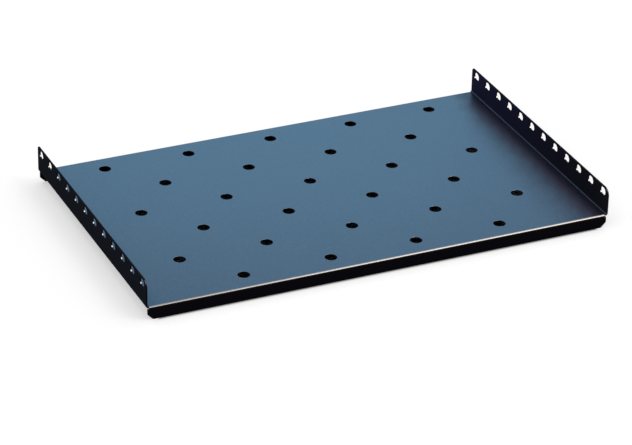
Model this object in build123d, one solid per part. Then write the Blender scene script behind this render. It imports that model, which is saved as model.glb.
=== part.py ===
from build123d import *
import os

# A fixed rack shelf, cut and folded from one sheet of steel. It stands on the lower edges of its
# front and rear lips. X runs across the rack, Y from the front to the rear, and Z up from the
# surface it stands on, with the origin under the middle of the deck. Lengths are in millimetres.

# Sheet
sheet_thickness = 1.5
inner_bend_radius = 1.0

# Outer size
shelf_width = 485.0
shelf_depth = 296.0
flange_height = 27.0
lip_drop = 14.0

# Corners of the side flanges and of the lips
flange_front_corner_radius = 8.0
flange_rear_corner_radius = 3.0
lip_corner_chamfer = 5.5
lip_corner_blend_radius = 2.0

# Slit that frees each fold from its neighbour at a corner of the deck
relief_width = 0.5
relief_reach = 1.0

# Oblong fixing holes along each side flange
side_hole_length = 10.0
side_hole_height = 8.0
side_hole_pitch = 25.0
side_hole_count = 12
side_hole_edge_distance = 6.0

# Staggered holes in the deck
deck_hole_diameter = 12.0
deck_hole_column_pitch = 90.0
deck_hole_row_pitch = 50.0
deck_hole_columns = 5
deck_hole_rows = 6

# Sizes that follow
outer_bend_radius = inner_bend_radius + sheet_thickness
half_width = shelf_width / 2
half_depth = shelf_depth / 2
side_bend_line = half_width - outer_bend_radius
end_bend_line = half_depth - outer_bend_radius
deck_top = lip_drop
deck_underside = deck_top - sheet_thickness
flange_top = deck_top + flange_height
flange_inner_face = half_width - sheet_thickness
cut_clearance = 1.0


def bend_section():
    """Section of one bend: a quarter ring that the deck joins along its left edge.

    The deck's outer face lies at v = 0, and the bend turns towards +v.
    """
    rings = Circle(outer_bend_radius) - Circle(inner_bend_radius)
    corner = Rectangle(outer_bend_radius, outer_bend_radius, align=(Align.MIN, Align.MIN))
    return (Pos(0, outer_bend_radius) * rings) & corner


def side_flange():
    """The right flange and its bend, turned up along the whole depth of the deck."""
    plane = Plane(
        origin=(side_bend_line, half_depth, deck_underside), x_dir=(1, 0, 0), z_dir=(0, -1, 0)
    )
    bend = extrude(plane * bend_section(), shelf_depth)
    plate = Pos(half_width, 0, flange_top) * Box(
        sheet_thickness,
        shelf_depth,
        flange_height + sheet_thickness - outer_bend_radius,
        align=(Align.MAX, Align.CENTER, Align.MAX),
    )
    rear_corner = plate.edges().filter_by(Axis.X).group_by(Axis.Z)[-1].sort_by(Axis.Y)[-1]
    plate = fillet(rear_corner, flange_rear_corner_radius)
    front_corner = plate.edges().filter_by(Axis.X).group_by(Axis.Y)[0].sort_by(Axis.Z)[-1]
    plate = fillet(front_corner, flange_front_corner_radius)
    return bend + plate


def end_lip():
    """The front lip and its bend, turned down, with its lower corners cut off.

    Below the bend the lip runs on under the ends of the side bends, to the flanges' inner faces.
    """
    plane = Plane(
        origin=(-side_bend_line, -end_bend_line, deck_top), x_dir=(0, -1, 0), z_dir=(1, 0, 0)
    )
    bend = extrude(plane * bend_section(), 2 * side_bend_line)
    plate = Pos(0, -half_depth, 0) * Box(
        2 * flange_inner_face,
        sheet_thickness,
        lip_drop - outer_bend_radius,
        align=(Align.CENTER, Align.MIN, Align.MIN),
    )
    lower_corners = plate.edges().filter_by(Axis.Y).group_by(Axis.Z)[0]
    plate = chamfer(lower_corners, lip_corner_chamfer)
    blend_edges = plate.edges().filter_by(Axis.Y).group_by(Axis.Z)[:2]
    plate = fillet(blend_edges[0] + blend_edges[1], lip_corner_blend_radius)
    return bend + plate


def corner_reliefs():
    """The four slits, each between the end of a side bend and the end of a lip's bend."""
    slit_start = end_bend_line - relief_reach
    slit = Box(
        relief_width,
        half_depth - slit_start + cut_clearance,
        2 * outer_bend_radius,
        align=(Align.MAX, Align.MIN, Align.CENTER),
    )
    rear_right = Pos(side_bend_line, slit_start, deck_top) * slit
    rear = rear_right + mirror(rear_right, about=Plane.YZ)
    return rear + mirror(rear, about=Plane.XZ)


def side_holes():
    """Cutters for the row of fixing holes, through both flanges at once."""
    height = flange_top - side_hole_edge_distance
    row = GridLocations(side_hole_pitch, 1, side_hole_count, 1)
    slots = Sketch() + [place * SlotOverall(side_hole_length, side_hole_height) for place in row]
    plane = Plane(origin=(0, 0, height), x_dir=(0, 1, 0), z_dir=(1, 0, 0))
    return extrude(plane * slots, half_width + cut_clearance, both=True)


def deck_holes():
    """Drills for the deck's rows, each other row one hole shorter and half a pitch across."""
    circles = []
    for row in range(deck_hole_rows):
        y = ((deck_hole_rows - 1) / 2 - row) * deck_hole_row_pitch
        count = deck_hole_columns - row % 2
        for place in GridLocations(deck_hole_column_pitch, 1, count, 1):
            circles.append(Pos(0, y) * place * Circle(deck_hole_diameter / 2))
    plane = Plane.XY.offset(deck_underside - cut_clearance)
    return extrude(plane * (Sketch() + circles), sheet_thickness + 2 * cut_clearance)


def rack_shelf():
    """The folded sheet: deck, two flanges, two lips, and everything cut through them."""
    deck = Pos(0, 0, deck_underside) * Box(
        2 * side_bend_line,
        2 * end_bend_line,
        sheet_thickness,
        align=(Align.CENTER, Align.CENTER, Align.MIN),
    )
    flange = side_flange()
    lip = end_lip()
    flanges = flange + mirror(flange, about=Plane.YZ)
    lips = lip + mirror(lip, about=Plane.XZ)
    sheet = deck + flanges + lips
    return sheet - corner_reliefs() - side_holes() - deck_holes()


shelf = rack_shelf()
shelf.label = "rack_shelf"
os.makedirs("parts", exist_ok=True)
export_step(shelf, "parts/rack_shelf.step")
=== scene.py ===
"""Looks of a fixed rack shelf: a steel sheet, cut, rounded at its cut edges, folded and coated."""
from dataclasses import dataclass, field
from enum import Enum
from typing import Any, Iterable, Union
import logging
import math

import bmesh
import bpy
from mathutils import Matrix, Vector
from mathutils.geometry import tessellate_polygon


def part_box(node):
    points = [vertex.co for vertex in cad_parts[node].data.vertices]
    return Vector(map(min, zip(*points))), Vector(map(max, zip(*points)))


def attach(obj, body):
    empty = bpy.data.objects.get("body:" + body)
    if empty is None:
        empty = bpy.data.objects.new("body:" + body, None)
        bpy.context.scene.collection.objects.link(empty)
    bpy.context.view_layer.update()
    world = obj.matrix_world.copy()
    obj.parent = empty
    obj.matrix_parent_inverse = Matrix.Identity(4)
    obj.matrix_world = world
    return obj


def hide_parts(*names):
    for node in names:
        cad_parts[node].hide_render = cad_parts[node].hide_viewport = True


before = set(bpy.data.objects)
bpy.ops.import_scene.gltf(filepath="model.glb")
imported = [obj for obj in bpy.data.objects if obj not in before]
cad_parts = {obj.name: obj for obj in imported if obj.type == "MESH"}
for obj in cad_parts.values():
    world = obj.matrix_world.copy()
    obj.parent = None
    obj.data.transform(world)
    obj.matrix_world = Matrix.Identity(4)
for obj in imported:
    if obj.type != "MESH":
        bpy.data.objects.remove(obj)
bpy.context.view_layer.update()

SHELF_NODE = "rack_shelf"
BODY = "root"
LOG = logging.getLogger("rack_shelf")

MM = 0.001
QUARTER_TURN = math.pi / 2
PICTURE_WIDTH = 632
NOISE_MIDDLE = 0.5

# Places of a colour Mix node's sockets
MIX_FACTOR = 0
MIX_FIRST = 6
MIX_SECOND = 7
MIX_RESULT = 2

Colour = tuple[float, float, float]
Corner = tuple[float, float, float]
Span = tuple[float, float]
Loop = list[Vector]
Link = bpy.types.NodeSocket
Number = Union["Value", float]
Tone = Union[Colour, Link]


def steps(first: float, last: float, count: int) -> list[float]:
    """Evenly spaced numbers, both ends included.

    Args:
        first: The first number.
        last: The last number.
        count: How many numbers there are, at least two.

    Returns:
        The numbers in order.
    """
    return [first + (last - first) * i / (count - 1) for i in range(count)]


def shifted(span: Span, by: float) -> Span:
    """A span moved by a distance."""
    return span[0] + by, span[1] + by


def opaque(colour: Colour) -> tuple[float, float, float, float]:
    """A colour as a colour socket takes it, with full alpha."""
    return (*colour, 1.0)


def placed(name: str, data: bpy.types.ID) -> bpy.types.Object:
    """Makes an object and puts it into the scene.

    Args:
        name: The object's name.
        data: Its mesh, light or camera.

    Returns:
        The object.
    """
    made = bpy.data.objects.new(name, data)
    bpy.context.scene.collection.objects.link(made)
    return made


class Turn(Enum):
    """Which way a flap of the blank is folded. The value is the sign of the flap's height."""

    UP = 1
    DOWN = -1


@dataclass(frozen=True)
class Fold:
    """A quarter bend between the deck and a straight flap.

    Attributes:
        turn: Whether the flap stands up or hangs down.
        line: Distance from the shelf's middle at which the bend starts.
        inner_radius: Radius on the inside of the bend.
        sheet: Thickness of the sheet.
    """

    turn: Turn
    line: float
    inner_radius: float
    sheet: float

    @property
    def length(self) -> float:
        """Length of the bend in the flat blank, along the middle of the sheet."""
        return QUARTER_TURN * (self.inner_radius + self.sheet / 2)

    @property
    def flap_start(self) -> float:
        """Distance from the shelf's middle at which the straight flap starts in the flat blank."""
        return self.line + self.length

    def bent(self, outward: float, height: float, normal: Vector) -> tuple[float, float, Vector]:
        """Where the bend takes a point of the flat blank.

        Args:
            outward: The point's distance from the shelf's middle, across the bend.
            height: The point's height over the deck's top face, from minus the sheet to zero.
            normal: The surface normal there, as (outward, along, up).

        Returns:
            The point's new distance and height, and its normal, in the same order.
        """
        past = outward - self.line
        if past <= 0:
            return outward, height, normal
        angle = QUARTER_TURN * min(past / self.length, 1.0)
        run = max(past - self.length, 0.0)
        sign = self.turn.value
        inner_face = 0.0 if self.turn is Turn.UP else -self.sheet
        radius = self.inner_radius + sign * (inner_face - height)
        sine = math.sin(angle)
        cosine = math.cos(angle)
        new_outward = self.line + radius * sine + run * cosine
        new_height = inner_face + sign * (self.inner_radius - radius * cosine + run * sine)
        turned = Vector(
            (
                normal[0] * cosine - sign * normal[2] * sine,
                normal[1],
                normal[2] * cosine + sign * normal[0] * sine,
            )
        )
        return new_outward, new_height, turned


@dataclass
class Blank:
    """The flat sheet before folding: its outlines, and the solid with rounded cut edges.

    Attributes:
        sheet: Thickness of the sheet.
        edge_radius: Radius of the coated cut edges.
        edge_points: Points across the round of one cut edge.
        corner_points: Fewest points along the round of a corner.
        arc_step: Longest step along a round corner or a hole, in radians.
    """

    sheet: float
    edge_radius: float = 0.3 * MM
    edge_points: int = 4
    corner_points: int = 3
    arc_step: float = math.radians(9)

    def corner(self, before: Vector, at: Vector, after: Vector, radius: float) -> Loop:
        """Points along the round of one corner of an outline.

        Args:
            before: The outline's corner before this one.
            at: The corner.
            after: The outline's corner after this one.
            radius: Radius of the round.

        Returns:
            The points from the round's start to its end.
        """
        back = (before - at).normalized()
        ahead = (after - at).normalized()
        half = back.angle(ahead) / 2
        centre = at + (back + ahead).normalized() * (radius / math.sin(half))
        start = at + back * (radius / math.tan(half)) - centre
        sweep = math.pi - 2 * half
        if back.cross(ahead) > 0:
            sweep = -sweep
        count = max(self.corner_points, 1 + math.ceil(abs(sweep) / self.arc_step))
        return [centre + Matrix.Rotation(a, 2) @ start for a in steps(0.0, sweep, count)]

    def outline(self, corners: list[Corner]) -> Loop:
        """A closed outline with every corner rounded.

        Args:
            corners: Each corner's two coordinates and its radius, anticlockwise.

        Returns:
            The outline's points.
        """
        places = [Vector(corner[:2]) for corner in corners]
        points: Loop = []
        for i, (_, _, radius) in enumerate(corners):
            after = places[(i + 1) % len(places)]
            points += self.corner(places[i - 1], places[i], after, radius)
        return points

    def hole(self, centre: tuple[float, float], radius: float, straight: float = 0.0) -> Loop:
        """The outline of a round or oblong hole, clockwise, with the sheet on its left.

        Args:
            centre: The hole's middle.
            radius: Radius of the hole or of its round ends.
            straight: Length of the straight sides, along the second axis.

        Returns:
            The outline's points.
        """
        count = math.ceil(math.pi / self.arc_step)
        points: Loop = []
        for first, shift in ((0.0, -straight / 2), (-math.pi, straight / 2)):
            angles = steps(first, first - math.pi, count + 1)
            if straight == 0:
                angles.pop()
            middle = Vector((centre[0], centre[1] + shift))
            points += [middle + Vector((math.cos(a), math.sin(a))) * radius for a in angles]
        return points

    def edge_profile(self) -> list[tuple[float, float, float, float]]:
        """The cut edge's section, from the top face over the wall to the bottom face.

        Returns:
            For each point, its distance into the sheet, its height, and its normal's outward and
            upward parts.
        """
        upper = []
        for angle in steps(0.0, QUARTER_TURN, self.edge_points):
            out = math.sin(angle)
            up = math.cos(angle)
            upper.append((self.edge_radius * (1 - out), self.edge_radius * (up - 1), out, up))
        lower = [(inset, -self.sheet - height, out, -up) for inset, height, out, up in reversed(upper)]
        return upper + lower

    @staticmethod
    def outward_normals(loop: Loop) -> Loop:
        """The directions in which an outline looks away from the sheet.

        Args:
            loop: The outline's points, with the sheet on its left.

        Returns:
            The unit normal at each point.
        """
        normals = []
        for i, point in enumerate(loop):
            before = (point - loop[i - 1]).normalized()
            after = (loop[(i + 1) % len(loop)] - point).normalized()
            along = (before + after).normalized()
            normals.append(Vector((along.y, -along.x)))
        return normals

    def solid(self, outer: Loop, holes: list[Loop]) -> bmesh.types.BMesh:
        """The closed flat sheet, with each vertex's normal in a layer named normal.

        Args:
            outer: The blank's outline, anticlockwise.
            holes: The holes' outlines, clockwise.

        Returns:
            The mesh, its top face at height zero.
        """
        mesh = bmesh.new()
        layer = mesh.verts.layers.float_vector.new("normal")
        profile = self.edge_profile()
        top: list[bmesh.types.BMVert] = []
        bottom: list[bmesh.types.BMVert] = []
        caps: list[Loop] = []
        for loop in [outer, *holes]:
            rings = []
            for point, normal in zip(loop, self.outward_normals(loop)):
                ring = []
                for inset, height, out, up in profile:
                    place = point - normal * inset
                    vertex = mesh.verts.new((place.x, place.y, height))
                    vertex[layer] = (normal.x * out, normal.y * out, up)
                    ring.append(vertex)
                rings.append(ring)
            for i, ring in enumerate(rings):
                ahead = rings[(i + 1) % len(rings)]
                for j in range(len(profile) - 1):
                    mesh.faces.new((ring[j], ring[j + 1], ahead[j + 1], ahead[j]))
            top += [ring[0] for ring in rings]
            bottom += [ring[-1] for ring in rings]
            caps.append([ring[0].co.copy() for ring in rings])
        for a, b, c in tessellate_polygon(caps):
            mesh.faces.new((top[a], top[b], top[c]))
            mesh.faces.new((bottom[c], bottom[b], bottom[a]))
        bmesh.ops.recalc_face_normals(mesh, faces=mesh.faces[:])
        return mesh


@dataclass
class FoldedShelf:
    """The whole shelf: the sizes of its blank, its holes and its four folds.

    Attributes:
        low: The lowest corner of the CAD solid.
        high: The highest corner of the CAD solid.
        sheet: Thickness of the sheet.
        inner_radius: Radius on the inside of every bend.
        flange_height: Height of the flanges over the deck's top face.
        flange_front_round: Radius of the flanges' upper front corners.
        flange_rear_round: Radius of the flanges' upper rear corners.
        lip_chamfer: Length cut off both edges at the lips' lower corners.
        lip_blend: Radius at both ends of that cut.
        relief_width: Width of the slit between the ends of two bends.
        relief_reach: How far the slit runs past the lip's bend, into the deck.
        relief_round: Radius of the slit's inner corners.
        small_round: Radius of the outline's other corners.
        side_hole_length: Length of a flange's oblong holes.
        side_hole_height: Height of a flange's oblong holes.
        side_hole_pitch: Distance between their middles.
        side_hole_count: How many there are in each flange.
        side_hole_edge: Distance of their middles from the flange's top edge.
        deck_hole_radius: Radius of the deck's holes.
        deck_hole_columns: Holes in a full row. The rows between have one fewer.
        deck_hole_rows: How many rows there are from front to rear.
        deck_hole_across: Distance between the holes of a row.
        deck_hole_along: Distance between rows.
        bend_steps: Flat strips around a bend.
        weld: Distance within which a cut along a bend meets an existing point.
        blank: The flat sheet.
        side_fold: The bend of each flange.
        end_fold: The bend of each lip.
    """

    low: Vector
    high: Vector
    sheet: float = 1.5 * MM
    inner_radius: float = 1.0 * MM
    flange_height: float = 27 * MM
    flange_front_round: float = 8 * MM
    flange_rear_round: float = 3 * MM
    lip_chamfer: float = 5.5 * MM
    lip_blend: float = 2 * MM
    relief_width: float = 0.5 * MM
    relief_reach: float = 1.0 * MM
    relief_round: float = 0.2 * MM
    small_round: float = 0.4 * MM
    side_hole_length: float = 10 * MM
    side_hole_height: float = 8 * MM
    side_hole_pitch: float = 25 * MM
    side_hole_count: int = 12
    side_hole_edge: float = 6 * MM
    deck_hole_radius: float = 6.0 * MM
    deck_hole_columns: int = 5
    deck_hole_rows: int = 6
    deck_hole_across: float = 90 * MM
    deck_hole_along: float = 50 * MM
    bend_steps: int = 8
    weld: float = 1e-8
    blank: Blank = field(init=False)
    side_fold: Fold = field(init=False)
    end_fold: Fold = field(init=False)

    def __post_init__(self) -> None:
        """Works out the folds from the CAD solid's outer size."""
        outer_radius = self.inner_radius + self.sheet
        self.blank = Blank(self.sheet)
        self.side_fold = Fold(Turn.UP, self.high.x - outer_radius, self.inner_radius, self.sheet)
        self.end_fold = Fold(Turn.DOWN, self.high.y - outer_radius, self.inner_radius, self.sheet)

    @property
    def deck_top(self) -> float:
        """Height of the deck's top face."""
        return self.high.z - self.flange_height

    @property
    def last_side_hole(self) -> float:
        """Distance of a flange's last holes from the shelf's middle."""
        return (self.side_hole_count - 1) / 2 * self.side_hole_pitch

    def quarter_outline(self, top_round: float) -> list[Corner]:
        """Corners of the blank from its right edge to the end of its rear lip.

        Args:
            top_round: Radius of the flange's upper corner.

        Returns:
            Each corner's two coordinates and its radius, anticlockwise.
        """
        flange_edge = self.side_fold.flap_start + self.flange_height - self.inner_radius
        lip_edge = self.end_fold.flap_start + self.deck_top - self.low.z - self.sheet - self.inner_radius
        lip_side = self.high.x - self.sheet
        slit_outer = self.side_fold.line
        slit_inner = slit_outer - self.relief_width
        slit_end = self.end_fold.line - self.relief_reach
        ear_start = self.end_fold.flap_start
        return [
            (flange_edge, self.high.y, top_round),
            (slit_outer, self.high.y, self.small_round),
            (slit_outer, slit_end, self.relief_round),
            (slit_inner, slit_end, self.relief_round),
            (slit_inner, ear_start, self.relief_round),
            (lip_side, ear_start, self.small_round),
            (lip_side, lip_edge - self.lip_chamfer, self.lip_blend),
            (lip_side - self.lip_chamfer, lip_edge, self.lip_blend),
        ]

    def outline(self) -> Loop:
        """The blank's whole outline.

        Returns:
            Its points, anticlockwise.
        """
        rear = self.quarter_outline(self.flange_rear_round)
        front = self.quarter_outline(self.flange_front_round)
        rear_left = [(-x, y, r) for x, y, r in reversed(rear)]
        front_left = [(-x, -y, r) for x, y, r in front]
        front_right = [(x, -y, r) for x, y, r in reversed(front)]
        return self.blank.outline(rear + rear_left + front_left + front_right)

    def holes(self) -> list[Loop]:
        """Every hole of the blank.

        Returns:
            The outlines of the deck's staggered holes, then those of the flanges' holes.
        """
        loops = []
        for row in range(self.deck_hole_rows):
            y = ((self.deck_hole_rows - 1) / 2 - row) * self.deck_hole_along
            count = self.deck_hole_columns - row % 2
            for column in range(count):
                x = (column - (count - 1) / 2) * self.deck_hole_across
                loops.append(self.blank.hole((x, y), self.deck_hole_radius))
        run = self.flange_height - self.side_hole_edge - self.inner_radius
        x = self.side_fold.flap_start + run
        radius = self.side_hole_height / 2
        straight = self.side_hole_length - self.side_hole_height
        for i in range(self.side_hole_count):
            y = (i - (self.side_hole_count - 1) / 2) * self.side_hole_pitch
            loops.append(self.blank.hole((x, y), radius, straight))
            loops.append(self.blank.hole((-x, y), radius, straight))
        return loops

    def cut_bends(self, mesh: bmesh.types.BMesh) -> None:
        """Adds rows of edges along each bend, so that it can be rounded.

        Args:
            mesh: The flat blank.
        """
        for fold, axis in ((self.side_fold, Vector((1, 0, 0))), (self.end_fold, Vector((0, 1, 0)))):
            for distance in steps(fold.line, fold.flap_start, self.bend_steps + 1):
                for side in (-1, 1):
                    bmesh.ops.bisect_plane(
                        mesh,
                        geom=mesh.verts[:] + mesh.edges[:] + mesh.faces[:],
                        dist=self.weld,
                        plane_co=axis * distance * side,
                        plane_no=axis,
                    )

    def fold(self, mesh: bmesh.types.BMesh) -> list[Vector]:
        """Folds the flat mesh into the shelf.

        Args:
            mesh: The flat blank, whose vertices move.

        Returns:
            The normal of each vertex.
        """
        layer = mesh.verts.layers.float_vector["normal"]
        normals = []
        slit_middle = self.side_fold.line - self.relief_width / 2
        ear_gap_middle = (self.high.y + self.end_fold.flap_start) / 2
        for vertex in mesh.verts:
            x, y, z = vertex.co
            nx, ny, nz = vertex[layer]
            side = math.copysign(1.0, x)
            end = math.copysign(1.0, y)
            if abs(x) > slit_middle and abs(y) < ear_gap_middle:
                out, z, turned = self.side_fold.bent(abs(x), z, Vector((nx * side, ny, nz)))
                x = out * side
                nx, ny, nz = turned.x * side, turned.y, turned.z
            else:
                out, z, turned = self.end_fold.bent(abs(y), z, Vector((ny * end, nx, nz)))
                y = out * end
                ny, nx, nz = turned.x * end, turned.y, turned.z
            vertex.co = (x, y, z + self.deck_top)
            normals.append(Vector((nx, ny, nz)).normalized())
        return normals

    def build(self) -> bpy.types.Object:
        """Cuts, rounds and folds the sheet.

        Returns:
            The shelf as one closed mesh, which stands for the CAD node.
        """
        mesh = self.blank.solid(self.outline(), self.holes())
        self.cut_bends(mesh)
        normals = self.fold(mesh)
        data = bpy.data.meshes.new("folded_sheet")
        mesh.to_mesh(data)
        mesh.free()
        data.attributes.remove(data.attributes["normal"])
        for polygon in data.polygons:
            polygon.use_smooth = True
        data.normals_split_custom_set_from_vertices(normals)
        return placed("folded_sheet", data)


class Value:
    """A number in a material. Each operator on it adds a Math node."""

    def __init__(self, graph: "Graph", socket: Link) -> None:
        """Keeps the socket and the graph that it belongs to."""
        self.graph = graph
        self.socket = socket

    def _math(self, operation: str, *terms: Number) -> "Value":
        """Adds one Math node on the terms and returns its result."""
        return self.graph.value("ShaderNodeMath", {"operation": operation}, dict(enumerate(terms)))

    def __add__(self, other: Number) -> "Value":
        """self + other."""
        return self._math("ADD", self, other)

    __radd__ = __add__

    def __sub__(self, other: Number) -> "Value":
        """self - other."""
        return self._math("SUBTRACT", self, other)

    def __rsub__(self, other: Number) -> "Value":
        """other - self."""
        return self._math("SUBTRACT", other, self)

    def __mul__(self, other: Number) -> "Value":
        """self * other."""
        return self._math("MULTIPLY", self, other)

    __rmul__ = __mul__

    def __abs__(self) -> "Value":
        """The size of self, without its sign."""
        return self._math("ABSOLUTE", self)

    def larger(self, other: Number) -> "Value":
        """The larger of self and other."""
        return self._math("MAXIMUM", self, other)

    def smooth(self, low: Number, high: Number) -> "Value":
        """A smooth step.

        Args:
            low: Where the step begins. Below it the result is zero.
            high: Where the step ends. Above it the result is one.

        Returns:
            The step.
        """
        settings = {"interpolation_type": "SMOOTHSTEP"}
        sockets = {"Value": self, "From Min": low, "From Max": high}
        return self.graph.value("ShaderNodeMapRange", settings, sockets)


@dataclass(frozen=True)
class Surface:
    """A point of the coat, in the shelf's own frame.

    Attributes:
        where: Its place, as a link.
        across: Its place from left to right.
        along: Its place from front to rear.
        height: Its height over what the shelf stands on.
        rightward: How far the surface looks to the right, from minus one to one.
        rearward: How far it looks to the rear.
        upward: How far it looks up.
    """

    where: Link
    across: Value
    along: Value
    height: Value
    rightward: Value
    rearward: Value
    upward: Value

    def toward(self, tilt: float) -> Value:
        """Cosine of the angle to a direction that leans by the tilt from straight up to the front."""
        return self.upward * math.cos(tilt) - self.rearward * math.sin(tilt)


@dataclass(frozen=True)
class Mottle:
    """Noise over the coat.

    Attributes:
        size: Length over which it changes.
        change: How far it changes what it acts on.
        detail: How many finer layers it has.
    """

    size: float
    change: float
    detail: float


class Graph:
    """The node tree of one material or world."""

    def __init__(self, owner: Any) -> None:
        """Empties the owner's node tree and keeps it.

        Args:
            owner: A material or a world.
        """
        owner.use_nodes = True
        self.tree = owner.node_tree
        self.tree.nodes.clear()

    def node(self, kind: str, settings: dict[str, Any], sockets: dict[Any, Any]) -> bpy.types.Node:
        """Adds a node.

        Args:
            kind: The node's type.
            settings: Its properties, which are set first.
            sockets: Values or links for its inputs, by name or place.

        Returns:
            The node.
        """
        made = self.tree.nodes.new(kind)
        for name, setting in settings.items():
            setattr(made, name, setting)
        for name, given in sockets.items():
            target = made.inputs[name]
            if isinstance(given, Value):
                given = given.socket
            if isinstance(given, Link):
                self.tree.links.new(given, target)
            else:
                target.default_value = given
        return made

    def value(self, kind: str, settings: dict[str, Any], sockets: dict[Any, Any]) -> Value:
        """Adds a node and returns its first output as a number."""
        return Value(self, self.node(kind, settings, sockets).outputs[0])

    def parts(self, vector: Link) -> list[Value]:
        """The three parts of a vector."""
        split = self.node("ShaderNodeSeparateXYZ", {}, {0: vector})
        return [Value(self, socket) for socket in split.outputs]

    def surface(self) -> Surface:
        """The place and the direction of the surface.

        Returns:
            Both, with their parts.
        """
        source = self.node("ShaderNodeTexCoord", {}, {})
        where = source.outputs["Object"]
        return Surface(where, *self.parts(where), *self.parts(source.outputs["Normal"]))

    def noise(self, where: Link, mottle: Mottle) -> Value:
        """Noise from zero to one, at a place in metres."""
        sockets = {"Vector": where, "Scale": 1 / mottle.size, "Detail": mottle.detail}
        return self.value("ShaderNodeTexNoise", {}, sockets)

    def mix(self, factor: Value, first: Tone, second: Tone) -> Link:
        """Mixes two colours.

        Args:
            factor: Zero for the first colour, and one for the second.
            first: A plain colour or a link.
            second: A plain colour or a link.

        Returns:
            The mixed colour.
        """
        sockets: dict[int, Any] = {MIX_FACTOR: factor}
        for place, given in ((MIX_FIRST, first), (MIX_SECOND, second)):
            sockets[place] = given if isinstance(given, Link) else opaque(given)
        return self.node("ShaderNodeMix", {"data_type": "RGBA"}, sockets).outputs[MIX_RESULT]

    def scaled(self, colour: Tone, factor: Value) -> Link:
        """A colour times a number."""
        sockets = {0: colour, "Scale": factor}
        return self.node("ShaderNodeVectorMath", {"operation": "SCALE"}, sockets).outputs[0]

    def mixed_shader(self, factor: Value, first: bpy.types.Node, second: bpy.types.Node) -> None:
        """Ends the tree with a mix of two shaders.

        Args:
            factor: Zero for the first shader, and one for the second.
            first: A shader node.
            second: A shader node.
        """
        sockets = {0: factor, 1: first.outputs[0], 2: second.outputs[0]}
        mixed = self.node("ShaderNodeMixShader", {}, sockets)
        self.node("ShaderNodeOutputMaterial", {}, {"Surface": mixed.outputs[0]})


@dataclass(frozen=True)
class Finish:
    """How one layer of the coat reflects.

    Attributes:
        metallic: How metallic the layer is.
        roughness: Its roughness.
        specular: Strength of the clear reflection on what isn't metallic.
        grazing: Share of the reflection that is left at a grazing view.
    """

    metallic: float
    roughness: float
    specular: float
    grazing: Colour


@dataclass(frozen=True)
class Sheen:
    """The satin face of the coat. Its colours are painted: a reflection on the deck and highlights on the
    folds and cut edges.

    Attributes:
        deck: Painted reflection: the steel blue of the deck's top face, on a blue-black coat.
        edge: Painted highlight colour of the folds and cut edges that look up and to the front.
        warm_highlight: The painted highlight's colour on the lower side of its line.
        share: How much of the deck's tone is satin. The body makes up the rest.
        finish: How it reflects.
    """

    deck: Colour = (0.0655, 0.1850, 0.2850)
    edge: Colour = (0.97, 0.95, 0.87)
    warm_highlight: Colour = (0.46, 0.23, 0.17)
    share: float = 0.9
    finish: Finish = Finish(metallic=0.97, roughness=0.34, specular=0.5, grazing=(0.6, 0.6, 0.6))


@dataclass(frozen=True)
class Body:
    """The matt body of the coat: one blue-black, given a separate tone on each kind of face, which paints
    in how each is lit.

    Attributes:
        deck: Colour under the deck's satin.
        outer: Colour of the flanges' outer faces.
        inner_front: Colour of the flanges' inner faces at the front.
        inner_rear: Colour of the flanges' inner faces at the rear, lighter and bluer than at the front:
            painted light.
        other: Colour of the lips, the underside and the cut edges.
        crease_reflection: Colour of the line inside each side bend: painted reflection.
        rim: Colour of the flanges' top edges and of their round corners, lighter than the other cut
            edges: painted light on edges that look up.
        finish: How it reflects.
    """

    deck: Colour = (0.250, 0.130, 0.235)
    outer: Colour = (0.0062, 0.0074, 0.0112)
    inner_front: Colour = (0.0080, 0.0085, 0.0115)
    inner_rear: Colour = (0.0110, 0.0125, 0.0310)
    other: Colour = (0.0027, 0.0024, 0.0037)
    crease_reflection: Colour = (0.040, 0.050, 0.088)
    rim: Colour = (0.0130, 0.0110, 0.0150)
    finish: Finish = Finish(metallic=0.1, roughness=0.45, specular=0.0, grazing=(0.5, 0.5, 0.5))


@dataclass(frozen=True)
class Masks:
    """Where the coat's fields begin and where they are whole.

    Attributes:
        deck: The deck's top face, where the painted reflection goes, by how far the surface looks up.
        rim: The flanges' top edges, by how far it looks up.
        flange: The flanges' faces, by how far it looks sideways.
        outer: The flanges' outer faces, by the place across times the way the surface looks.
        crease_reflection: The painted line of reflection inside each side bend, by the sine of twice the
            surface's slope.
        white_line: The white side of the painted line of light, by how far the surface looks up.
        edge: Where the satin takes the painted highlight's colour, by that highlight's strength.
    """

    deck: Span = (0.72, 0.97)
    rim: Span = (0.2, 0.7)
    flange: Span = (0.3, 0.9)
    outer: Span = (-1 * MM, 1 * MM)
    crease_reflection: Span = (0.25, 0.80)
    white_line: Span = (0.40, 0.60)
    edge: Span = (0.0, 0.1)


@dataclass(frozen=True)
class Glint:
    """Painted highlights on the folds and the cut edges.

    It begins and is whole at cosines of the angle between the surface's direction and the lit one.

    Attributes:
        tilt: How far the lit direction leans from straight up to the front.
        line_start: Where the sharp line begins, on the lips and in the shelf's middle.
        line_end: Where it is whole.
        wider_on_flanges: How much sooner it begins on the flanges.
        wider_to_right: How much sooner it begins, for each metre to the right.
        stronger_to_right: Growth of its strength, for each metre to the right.
        tail: Strength of the soft light beside the line.
        tail_span: Where the soft light begins and where it is whole.
        rear: Strength of the light on edges that look up and to the rear.
        rear_span: Its span, in the sine of twice the edge's slope.
        corner: Strength of the soft light on the flanges' round corners.
        corner_tilt: As tilt, for that light.
        corner_span: Where it begins and where it is whole.
        corner_reach: Distance past the last side holes over which it takes over.
        flange_reach: Height over the deck's top face over which the flanges' values take over.
    """

    tilt: float = math.radians(54)
    line_start: float = 0.993
    line_end: float = 0.9998
    wider_on_flanges: float = 0.033
    wider_to_right: float = 0.016
    stronger_to_right: float = 1.0
    tail: float = 0.12
    tail_span: Span = (0.88, 0.98)
    rear: float = 0.2
    rear_span: Span = (0.90, 1.0)
    corner: float = 0.08
    corner_tilt: float = math.radians(28)
    corner_span: Span = (0.70, 1.0)
    corner_reach: Span = (5 * MM, 6 * MM)
    flange_reach: Span = (4 * MM, 6 * MM)


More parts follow.
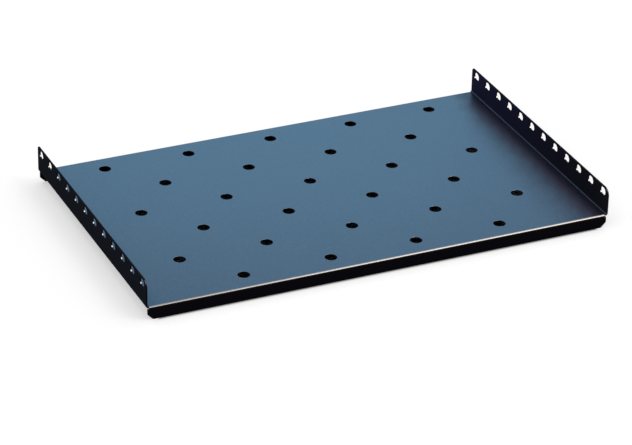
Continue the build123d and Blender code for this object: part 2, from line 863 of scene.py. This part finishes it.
@dataclass(frozen=True)
class PaintedLightAndMottle:
    """Painted light and shade on the deck, and how the coat's tone and surface vary over the shelf.

    Attributes:
        rise_to_rear: Growth of the satin's painted reflection towards the rear, for each metre.
        fall_from_middle: Loss of tone, for each square metre of distance from the middle, along.
        fall_to_sides: Loss of tone, for each square metre of distance from the brightest place, across.
        brightest_place: Where across the deck the satin is brightest.
        dark_reflection_start: Where the painted dark reflection of the right flange starts, in the middle
            of the bend.
        dark_reflection_turn: How far that start moves towards the bend, for each metre to the rear.
        dark_reflection_end: Where that painted reflection is darkest.
        dark_reflection_share: How much of its tone the satin loses there.
        shade_span: Where painted shade starts to darken the coat's body towards both bends, and where it
            is darkest.
        shade_share: How much of its tone it loses there.
        cloud: Slow change of tone.
        cloud_roughness: Change of the roughness with that of the tone.
        fleck: Fine change of tone.
        speck: Sparse light specks.
        speck_span: Where in their noise the specks begin and where they are whole.
        blotch: Noise by which the edge of the painted dark reflection wanders. Its change is a length.
        grain: Noise that the bump follows. Its change is a depth.
        grain_strength: Strength of the bump.
    """

    rise_to_rear: float = 0.90
    fall_from_middle: float = 1.5
    fall_to_sides: float = 1.7
    brightest_place: float = 50 * MM
    dark_reflection_start: float = 189 * MM
    dark_reflection_turn: float = 0.16
    dark_reflection_end: float = 230 * MM
    dark_reflection_share: float = 0.41
    shade_span: Span = (224 * MM, 240 * MM)
    shade_share: float = 0.6
    cloud: Mottle = Mottle(size=60 * MM, change=0.05, detail=3.0)
    cloud_roughness: float = 0.05
    fleck: Mottle = Mottle(size=1.3 * MM, change=0.40, detail=1.0)
    speck: Mottle = Mottle(size=1.9 * MM, change=0.24, detail=1.0)
    speck_span: Span = (0.69, 0.77)
    blotch: Mottle = Mottle(size=22 * MM, change=28 * MM, detail=3.0)
    grain: Mottle = Mottle(size=1.1 * MM, change=0.010 * MM, detail=2.0)
    grain_strength: float = 0.5


@dataclass(frozen=True)
class PowderCoat:
    """Powder coat on the whole sheet: blue-black, with a painted steel-blue reflection on the deck and
    painted highlights on the folds and cut edges.

    Attributes:
        shelf: The shelf, whose sizes place the masks.
        sheen: The satin layer.
        body: The matt layer.
        masks: Where each field of the coat is.
        glint: Painted highlights on folds and cut edges.
        painted_light_and_mottle: Painted light and shade on the deck, and how the tone and the surface
            vary.
    """

    shelf: FoldedShelf
    sheen: Sheen = Sheen()
    body: Body = Body()
    masks: Masks = Masks()
    glint: Glint = Glint()
    painted_light_and_mottle: PaintedLightAndMottle = PaintedLightAndMottle()

    @staticmethod
    def slanted(one: Value, other: Value) -> Value:
        """Sine of twice the slope: one where a surface looks halfway between two directions."""
        return one * other * 2

    def light(self, surface: Surface, blotch: Value) -> Value:
        """Painted light: the slow change of the satin's painted reflection over the deck, with the right
        flange's dark reflection painted beside its bend.

        Args:
            surface: The point of the coat.
            blotch: Noise about zero, by which the edge of the painted dark reflection wanders.

        Returns:
            A factor near one.
        """
        painted_light_and_mottle = self.painted_light_and_mottle
        off = surface.across - painted_light_and_mottle.brightest_place
        along = surface.along
        wandering = surface.across + blotch * painted_light_and_mottle.blotch.change
        # Painted dark reflection of the right flange on the satin beside its bend.
        dark_reflection = wandering.smooth(along * painted_light_and_mottle.dark_reflection_turn + painted_light_and_mottle.dark_reflection_start, painted_light_and_mottle.dark_reflection_end)
        # Painted light: the satin is lighter to the rear and darker towards the front and the sides.
        slope = along * painted_light_and_mottle.rise_to_rear - along * along * painted_light_and_mottle.fall_from_middle
        return (1 + slope - off * off * painted_light_and_mottle.fall_to_sides) * (1 - dark_reflection * painted_light_and_mottle.dark_reflection_share)

    def edges(self, surface: Surface) -> Value:
        """Where the folds and the cut edges get painted highlights.

        Args:
            surface: The point of the coat.

        Returns:
            The painted highlight's strength: small on rear-facing edges, soft on the flanges' round
            corners.
        """
        glint = self.glint
        on_flange = surface.height.smooth(*shifted(glint.flange_reach, self.shelf.deck_top))
        wider = surface.across * glint.wider_to_right
        line_start = glint.line_start - on_flange * glint.wider_on_flanges - wider
        to_light = surface.toward(glint.tilt)
        lit = to_light.smooth(line_start, glint.line_end) + to_light.smooth(*glint.tail_span) * glint.tail
        rear = self.slanted(surface.rearward, surface.upward).smooth(*glint.rear_span) * glint.rear
        sharp = (lit + rear) * (1 + surface.across * glint.stronger_to_right)
        past_holes = abs(surface.along).smooth(*shifted(glint.corner_reach, self.shelf.last_side_hole))
        at_corner = on_flange * past_holes
        soft = surface.toward(glint.corner_tilt).smooth(*glint.corner_span) * glint.corner
        return sharp * (1 - at_corner) + soft * at_corner

    def body_colour(self, graph: Graph, surface: Surface, low: Value, on_deck: Value) -> Link:
        """The colour of the coat's matt body.

        Args:
            graph: The material's nodes.
            surface: The point of the coat.
            low: One up to just over the deck's top face, and zero above.
            on_deck: Where the deck's top face is.

        Returns:
            The colour.
        """
        body = self.body
        masks = self.masks
        to_rear = surface.along.smooth(self.shelf.low.y, self.shelf.high.y)
        # The inner faces turn lighter and bluer to the rear: painted light.
        inner = graph.mix(to_rear, body.inner_front, body.inner_rear)
        outward = (surface.across * surface.rightward).smooth(*masks.outer)
        flange = graph.mix(outward, inner, body.outer)
        sideways = abs(surface.rightward)
        # Cut edges that look up take the lighter rim tone: painted light.
        edge = graph.mix(surface.upward.smooth(*masks.rim), body.other, body.rim)
        plain = graph.mix(sideways.smooth(*masks.flange), edge, flange)
        # Painted reflection: a lighter blue line inside each side bend.
        crease_reflection = self.slanted(sideways, surface.upward).smooth(*masks.crease_reflection) * low
        lined = graph.mix(crease_reflection, plain, body.crease_reflection)
        # Painted shade: the body on the deck darkens towards both bends.
        shade = abs(surface.across).smooth(*self.painted_light_and_mottle.shade_span) * self.painted_light_and_mottle.shade_share
        return graph.mix(on_deck, lined, graph.scaled(body.deck, 1 - shade))

    def layer(
        self, graph: Graph, finish: Finish, colour: Link, cloud: Value, bump: Link
    ) -> bpy.types.Node:
        """One layer of the coat.

        Args:
            graph: The material's nodes.
            finish: How the layer reflects.
            colour: Its colour.
            cloud: Slow noise about zero, with which its roughness changes.
            bump: Its fine relief.

        Returns:
            Its shader.
        """
        sockets = {
            "Base Color": colour,
            "Metallic": finish.metallic,
            "Roughness": finish.roughness + cloud * self.painted_light_and_mottle.cloud_roughness,
            "Specular IOR Level": finish.specular,
            "Specular Tint": opaque(finish.grazing),
            "Normal": bump,
        }
        return graph.node("ShaderNodeBsdfPrincipled", {}, sockets)

    def material(self) -> bpy.types.Material:
        """Makes the material.

        Returns:
            A material whose masks depend only on the surface's own direction and place.
        """
        made = bpy.data.materials.new("powder_coat")
        graph = Graph(made)
        surface = graph.surface()
        where = surface.where
        painted_light_and_mottle = self.painted_light_and_mottle
        sheen = self.sheen
        fade_end = self.shelf.deck_top + 2 * self.shelf.inner_radius
        low = (fade_end - surface.height).smooth(0, self.shelf.inner_radius)
        # Where the painted steel-blue reflection goes: faces that look up, low on the sheet.
        on_deck = surface.upward.smooth(*self.masks.deck) * low
        # Painted highlights on the folds and the cut edges.
        painted_highlight = self.edges(surface)
        cloud = graph.noise(where, painted_light_and_mottle.cloud) - NOISE_MIDDLE
        fleck = graph.noise(where, painted_light_and_mottle.fleck) - NOISE_MIDDLE
        speck = graph.noise(where, painted_light_and_mottle.speck).smooth(*painted_light_and_mottle.speck_span)
        blotch = graph.noise(where, painted_light_and_mottle.blotch) - NOISE_MIDDLE
        change = cloud * painted_light_and_mottle.cloud.change + fleck * painted_light_and_mottle.fleck.change + speck * painted_light_and_mottle.speck.change
        relief = {
            "Strength": painted_light_and_mottle.grain_strength,
            "Distance": painted_light_and_mottle.grain.change,
            "Height": graph.noise(where, painted_light_and_mottle.grain),
        }
        bump = graph.node("ShaderNodeBump", {}, relief).outputs[0]
        # Painted reflection on the deck, with its painted light and shade and random changes of tone.
        deck = graph.scaled(sheen.deck, self.light(surface, blotch) + change)
        # Painted highlight colour: white on its upper side, warm below.
        edge = graph.mix(surface.upward.smooth(*self.masks.white_line), sheen.warm_highlight, sheen.edge)
        # The satin takes the painted highlight's colour on folds and cut edges, and the painted
        # reflection elsewhere.
        satin_colour = graph.mix(painted_highlight.smooth(*self.masks.edge), deck, edge)
        matt_colour = graph.scaled(self.body_colour(graph, surface, low, on_deck), 1 + change)
        satin = self.layer(graph, sheen.finish, satin_colour, cloud, bump)
        matt = self.layer(graph, self.body.finish, matt_colour, cloud, bump)
        graph.mixed_shader(on_deck * sheen.share + painted_highlight, matt, satin)
        return made


@dataclass
class Studio:
    """The pale floor, the soft light and the camera.

    Attributes:
        middle: The middle of the deck's top face, which the camera is set against.
        azimuth: Degrees by which the camera looks to the right of the shelf's rear.
        elevation: Degrees by which it looks down.
        roll: Degrees by which its right side is raised.
        distance: Its distance.
        aim_right: How far to the right of the middle it aims.
        aim_up: How far above the middle it aims.
        lens: Its focal length, in millimetres.
        sensor: Its sensor's width, in millimetres.
        far_clip: How far it sees.
        shift: Its shift up, as a share of the picture's width: half a pixel.
        floor_half: Half the floor's width.
        floor_tone: The floor's tone.
        painted_under_shade: Painted shade: the floor's darker tone under the shelf, where little light
            gets in through the holes.
        near_glow: Share of the floor's own white that is added beside the shelf.
        far_glow: The same at a distance.
        glow_reach: That distance.
        open_side: How far the pale floor reaches in under both sides.
        tone_edge: Width over which the floor's tone changes there.
        white: Strength at which a light shows as white.
        world_strength: Strength of the even light from all around.
        world_colour: Its colour.
        lamp_direction: Where the softbox is, seen from the middle.
        lamp_distance: Its distance.
        lamp_size: Its width.
        lamp_radiance: Its radiance.
        lamp_colour: Its colour.
    """

    middle: Vector
    azimuth: float = 24.718
    elevation: float = 28.532
    roll: float = 1.316
    distance: float = 3.0612
    aim_right: float = -0.00427
    aim_up: float = -0.03097
    lens: float = 176.26
    sensor: float = 36.0
    far_clip: float = 50.0
    shift: float = 0.5 / PICTURE_WIDTH
    floor_half: float = 6.0
    floor_tone: float = 0.97
    painted_under_shade: float = 0.25
    near_glow: float = 0.45
    far_glow: float = 0.75
    glow_reach: float = 0.12
    open_side: float = 14 * MM
    tone_edge: float = 4 * MM
    white: float = 1.0
    world_strength: float = 1.0
    world_colour: Colour = (1.0, 1.0, 1.0)
    lamp_direction: tuple[float, float, float] = (0.37, -0.48, 0.80)
    lamp_distance: float = 2.0
    lamp_size: float = 0.7
    lamp_radiance: float = 4.0
    lamp_colour: Colour = (1.0, 0.98, 0.95)

    def camera(self) -> bpy.types.Object:
        """Makes the scene's camera at the picture's viewing angle.

        Returns:
            The camera.
        """
        turn = math.radians(self.azimuth)
        tilt = math.radians(self.elevation)
        spin = math.radians(self.roll)
        level = Vector((math.cos(turn), -math.sin(turn), 0.0))
        ahead = Vector(
            (math.sin(turn) * math.cos(tilt), math.cos(turn) * math.cos(tilt), -math.sin(tilt))
        )
        upright = level.cross(ahead)
        right = level * math.cos(spin) + upright * math.sin(spin)
        top = upright * math.cos(spin) - level * math.sin(spin)
        data = bpy.data.cameras.new("camera")
        data.sensor_width = self.sensor
        data.lens = self.lens
        data.shift_y = self.shift
        data.clip_end = self.far_clip
        camera = placed("camera", data)
        aim = self.middle + right * self.aim_right + top * self.aim_up
        turned = Matrix((right, top, -ahead)).transposed().to_4x4()
        camera.matrix_world = Matrix.Translation(aim - ahead * self.distance) @ turned
        bpy.context.scene.camera = camera
        return camera

    def lamp(self) -> bpy.types.Object:
        """Makes the softbox, up in front and to the right of the shelf.

        Returns:
            The lamp.
        """
        toward = Vector(self.lamp_direction).normalized()
        data = bpy.data.lights.new("softbox", "AREA")
        data.shape = "SQUARE"
        data.size = self.lamp_size
        data.color = self.lamp_colour
        data.energy = self.lamp_radiance * math.pi * self.lamp_size**2
        lamp = placed("softbox", data)
        lamp.location = self.middle + toward * self.lamp_distance
        lamp.rotation_mode = "QUATERNION"
        lamp.rotation_quaternion = toward.to_track_quat("Z", "Y")
        return lamp

    def world(self) -> None:
        """Makes an even white surrounding."""
        world = bpy.data.worlds.new("white_surround")
        graph = Graph(world)
        sockets = {"Color": opaque(self.world_colour), "Strength": self.world_strength}
        light = graph.node("ShaderNodeBackground", {}, sockets)
        graph.node("ShaderNodeOutputWorld", {}, {"Surface": light.outputs[0]})
        bpy.context.scene.world = world

    def floor_material(self, half: Vector) -> bpy.types.Material:
        """Makes the floor's material, which glows a little around the shelf to stay pale.

        Args:
            half: Half the footprint's width and depth.

        Returns:
            The material. It keeps the shelf's shadow.
        """
        material = bpy.data.materials.new("pale_floor")
        graph = Graph(material)
        source = graph.node("ShaderNodeTexCoord", {}, {})
        across, along, _ = graph.parts(source.outputs["Object"])
        beside = abs(across) - half.x + self.open_side
        outside = beside.larger(abs(along) - half.y)
        rays = graph.node("ShaderNodeLightPath", {}, {})
        seen = Value(graph, rays.outputs["Is Camera Ray"])
        for kind in ("Is Glossy Ray", "Is Transmission Ray"):
            seen = seen.larger(Value(graph, rays.outputs[kind]))
        glow = self.near_glow + outside.smooth(0, self.glow_reach) * (self.far_glow - self.near_glow)
        clear = outside.smooth(0, self.tone_edge)
        # Painted shade: the floor is darker under the shelf.
        tone = graph.mix(clear, (self.painted_under_shade,) * 3, (self.floor_tone,) * 3)
        diffuse = graph.node("ShaderNodeBsdfDiffuse", {}, {"Color": tone})
        white = graph.node("ShaderNodeEmission", {}, {"Strength": self.white})
        graph.mixed_shader(seen * glow * clear, diffuse, white)
        return material

    def floor(self, low: Vector, high: Vector) -> bpy.types.Object:
        """Makes the pale floor under the shelf.

        Args:
            low: The shelf's lowest corner.
            high: The shelf's highest corner.

        Returns:
            The floor.
        """
        reach = self.floor_half
        data = bpy.data.meshes.new("floor")
        corners = [(x * reach, y * reach, low.z) for x, y in ((-1, -1), (1, -1), (1, 1), (-1, 1))]
        data.from_pydata(corners, [], [(0, 1, 2, 3)])
        data.materials.append(self.floor_material((high - low) / 2))
        floor = placed("floor", data)
        return floor

    def colour_management(self) -> None:
        """Shows colours as they are."""
        bpy.context.scene.view_settings.view_transform = "Standard"


def main() -> None:
    """Builds the shelf and the studio."""
    logging.basicConfig(level=logging.INFO, format="%(name)s: %(message)s")
    low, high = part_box(SHELF_NODE)
    shelf = FoldedShelf(low, high)
    piece = shelf.build()
    piece.data.materials.append(PowderCoat(shelf).material())
    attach(piece, BODY)
    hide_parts(SHELF_NODE)
    LOG.info("%s: %d faces", piece.name, len(piece.data.polygons))
    studio = Studio(Vector((0.0, 0.0, shelf.deck_top)))
    studio.colour_management()
    studio.world()
    studio.lamp()
    studio.floor(low, high)
    studio.camera()


if __name__ == "__main__":
    main()
